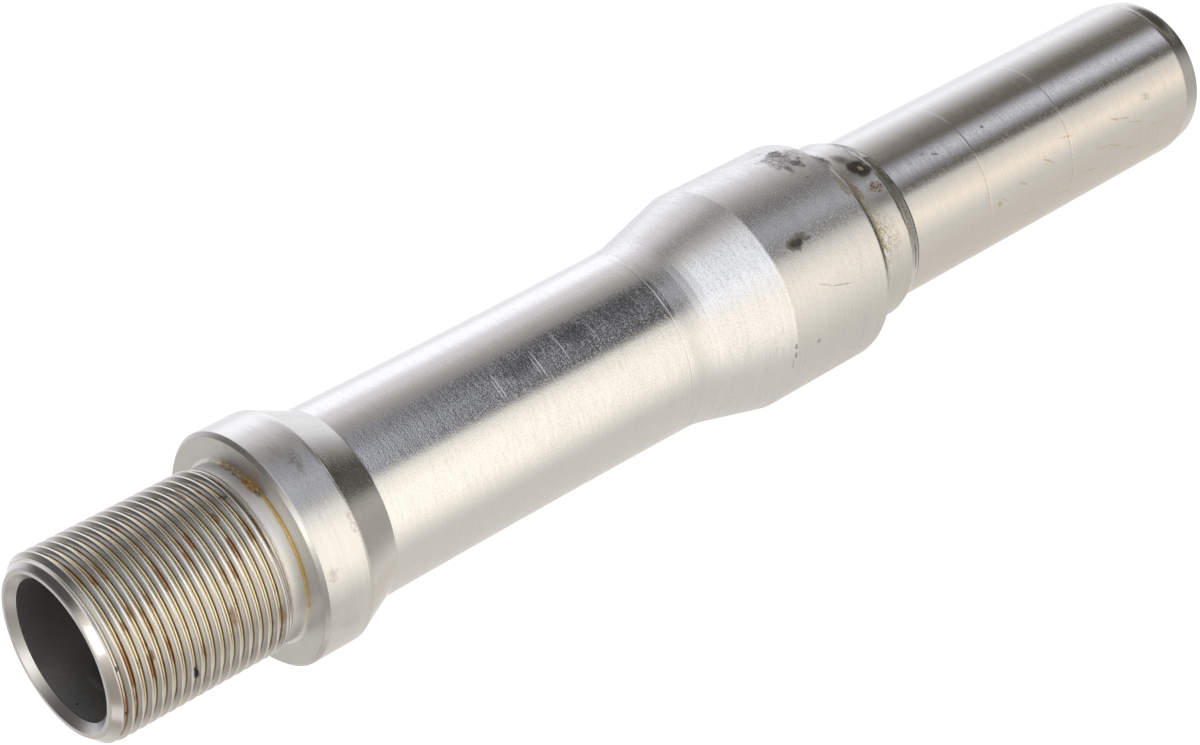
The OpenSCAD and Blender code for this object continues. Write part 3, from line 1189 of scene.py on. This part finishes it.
@dataclass
class Studio:
    """The pale floor, the light tent, two soft lamps and the camera."""

    base: Colour = (0.8, 0.775, 0.735)
    panels: tuple[Panel, ...] = (
        Panel(-140.0, -25.0, 40.0, 45.0, (1.0, 1.0, 1.05), 28.0, 24.0),
        Panel(-126.0, -30.0, 8.0, 18.0, (1.24, 1.24, 1.32), 24.0, 10.0),
        Panel(-120.0, -31.0, 17.0, 6.8, (1.38, 1.38, 1.47), 24.0, 3.0),
        Panel(180.0, -32.0, 9.0, 22.0, (1.26, 1.25, 1.24), 14.0, 10.0),
        Panel(-96.0, -25.0, 10.0, 40.0, (0.87, 0.86, 0.92), 22.0, 24.0),
        Panel(35.0, -18.0, 33.0, 18.2, (1.46, 1.39, 1.3), 46.0, 5.0),
        Panel(112.0, -44.0, 46.0, 7.0, (0.74, 0.69, 0.63), 40.0, 4.0),
        Panel(31.0, -44.0, 13.0, 7.0, (1.26, 1.11, 0.95), 34.0, 3.0),
        Panel(-20.0, -8.0, 28.0, 12.0, (1.42, 1.47, 1.6), 22.0, 10.0),
        Panel(-32.0, -17.5, 22.0, 3.0, (0.14, 0.14, 0.15), 22.0, 4.5),
        Panel(-72.0, -15.0, 13.0, 9.5, (0.24, 0.23, 0.25), 26.0, 8.0),
        Panel(-58.0, -29.0, 23.0, 8.5, (0.37, 0.35, 0.36), 34.0, 5.0),
        Panel(-34.0, -27.0, 27.0, 3.4, (0.52, 0.54, 0.62), 16.0, 3.0),
        Panel(-26.0, -27.0, 15.0, 3.0, (0.78, 0.81, 0.92), 20.0, 3.0),
        Panel(-34.0, -34.6, 28.0, 3.0, (0.1, 0.1, 0.105), 15.0, 2.0),
        Panel(-34.0, -31.9, 28.0, 2.1, (0.034, 0.033, 0.034), 15.0, 1.8),
        Panel(-34.0, -37.8, 28.0, 1.8, (0.23, 0.23, 0.25), 16.0, 1.4),
        Panel(-64.0, -46.0, 28.0, 7.0, (0.16, 0.14, 0.12), 46.0, 1.6),
        Panel(-30.0, -46.0, 28.0, 7.0, (0.14, 0.12, 0.105), 11.0, 1.6),
        Panel(-35.0, -46.3, 12.0, 7.0, (0.82, 0.84, 0.93), 24.0, 1.6),
        Panel(-36.0, -72.0, 60.0, 16.0, (0.08, 0.075, 0.07), 80.0, 12.0),
        Panel(80.0, -74.0, 50.0, 16.0, (0.46, 0.44, 0.41), 90.0, 14.0),
        Panel(-84.0, -85.0, 80.0, 9.0, (0.16, 0.15, 0.13), 60.0, 4.0),
        Panel(-98.0, 44.0, 50.0, 26.0, (0.1, 0.1, 0.1), 40.0, 24.0),
        Panel(4.0, 50.0, 30.0, 26.0, (1.34, 1.28, 1.18), 44.0, 24.0),
        Panel(112.0, 42.0, 46.0, 26.0, (0.42, 0.39, 0.36), 50.0, 24.0),
    )
    floor_half: float = 12.0
    aim: float = 0.15
    lens: float = 85.897
    place: tuple[float, float, float] = (0.0, -0.455429, 0.464678)
    right: tuple[float, float, float] = (-0.472865, -0.48738, -0.734071)
    up: tuple[float, float, float] = (0.881129, -0.2585, -0.395967)
    back: tuple[float, float, float] = (0.003229, -0.83405, 0.55168)

    def build_camera(self) -> None:
        """Makes the camera and sets it as the scene's own."""
        data = bpy.data.cameras.new("camera")
        data.lens = self.lens
        data.sensor_fit = "HORIZONTAL"
        data.sensor_width = 36.0
        data.clip_start, data.clip_end = 0.01, 50.0
        camera = bpy.data.objects.new("camera", data)
        turned = Matrix((self.right, self.up, self.back)).transposed().to_4x4()
        camera.matrix_world = Matrix.Translation(self.place) @ turned
        bpy.context.scene.collection.objects.link(camera)
        bpy.context.scene.camera = camera
        LOG.info("camera: %.1f mm lens", self.lens)

    @staticmethod
    def seen_by(graph: Graph, *kinds: str) -> Value:
        """Gives 1 for rays of these kinds and 0 for all others."""
        rays = graph.node("ShaderNodeLightPath").outputs
        first, *others = (Value(graph, rays[f"Is {kind} Ray"]) for kind in kinds)
        return sum(others, first).math("MINIMUM", 1.0)

    def build_floor(self) -> None:
        """Makes the pale floor that the shaft stands on; it takes the shaft's shadow."""
        mesh = bpy.data.meshes.new("floor")
        half = self.floor_half
        corners = [(-half, -half, 0.0), (half, -half, 0.0), (half, half, 0.0), (-half, half, 0.0)]
        mesh.from_pydata(corners, [], [(0, 1, 2, 3)])
        material = bpy.data.materials.new("floor_paper")
        graph = Graph(material)
        paper = graph.node(
            "ShaderNodeBsdfPrincipled", None, {"Base Color": (0.86, 0.86, 0.86), "Roughness": 0.9}
        )
        seen = self.seen_by(graph, "Camera", "Glossy", "Transmission") * 0.6
        white = graph.node("ShaderNodeEmission", None, {"Color": (1.0, 1.0, 1.0), "Strength": 1.4})
        both = graph.node("ShaderNodeMixShader", None, {0: seen, 1: paper.outputs[0], 2: white.outputs[0]})
        graph.node("ShaderNodeOutputMaterial", None, {"Surface": both.outputs[0]})
        mesh.materials.append(material)
        floor = bpy.data.objects.new("floor", mesh)
        floor.visible_glossy = False
        bpy.context.scene.collection.objects.link(floor)
        LOG.info("floor: paper, %.0f m wide", 2 * half)

    def build_world(self) -> None:
        """Makes the light tent: a pale cloth with soft bright and dark panels, white to the camera."""
        world = bpy.data.worlds.new("light_tent")
        graph = Graph(world)
        direction = graph.node("ShaderNodeTexCoord").outputs["Generated"]
        _, _, up, azimuth = graph.compass(direction)
        elevation = up.math("ARCSINE") * math.degrees(1.0)
        colour: Any = self.base
        for panel in self.panels:
            aside = abs((azimuth - panel.azimuth).math("WRAP", 180.0, -180.0))
            above = abs(elevation - panel.elevation)
            half_wide, half_tall = panel.fade_wide / 2, panel.fade_tall / 2
            mask = graph.step(aside, panel.wide + half_wide, panel.wide - half_wide)
            mask = mask * graph.step(above, panel.tall + half_tall, panel.tall - half_tall)
            colour = graph.mix(colour, panel.colour, mask)
        colour = graph.mix(colour, (1.0, 1.0, 1.0), self.seen_by(graph, "Camera", "Transmission"))
        back = graph.node("ShaderNodeBackground", None, {"Color": colour, "Strength": 1.0})
        graph.node("ShaderNodeOutputWorld", None, {"Surface": back.outputs[0]})
        bpy.context.scene.world = world
        LOG.info("light_tent: %d panels", len(self.panels))

    def build_lamp(self, name: str, place: tuple[float, float, float], size: float, radiance: float) -> None:
        """Makes a square soft lamp that faces the middle of the shaft.

        Args:
            name: the lamp's name.
            place: where it hangs, in metres.
            size: the length of its side, in metres.
            radiance: how bright its face is, where 1 is white.
        """
        data = bpy.data.lights.new(name, "AREA")
        data.shape = "SQUARE"
        data.size = size
        data.energy = radiance * math.pi * size * size
        lamp = bpy.data.objects.new(name, data)
        lamp.location = place
        away = lamp.location - Vector((0.0, 0.0, self.aim))
        lamp.rotation_euler = away.to_track_quat("Z", "Y").to_euler()
        bpy.context.scene.collection.objects.link(lamp)
        LOG.info("%s: %.2f m square", name, size)

    def build(self) -> None:
        """Sets up the view, with no colour treatment of its own."""
        bpy.context.scene.view_settings.view_transform = "Standard"
        self.build_camera()
        self.build_floor()
        self.build_world()
        self.build_lamp("key_lamp", (-0.15, -0.6, 1.5), 0.55, 1.1)
        self.build_lamp("side_lamp", (-1.3, 0.5, 0.9), 0.7, 0.6)


def main() -> None:
    """Builds the studio and the shaft."""
    logging.basicConfig(level=logging.INFO, format="%(name)s: %(message)s")
    Studio().build()
    DriveShaft().build()


if __name__ == "__main__":
    main()
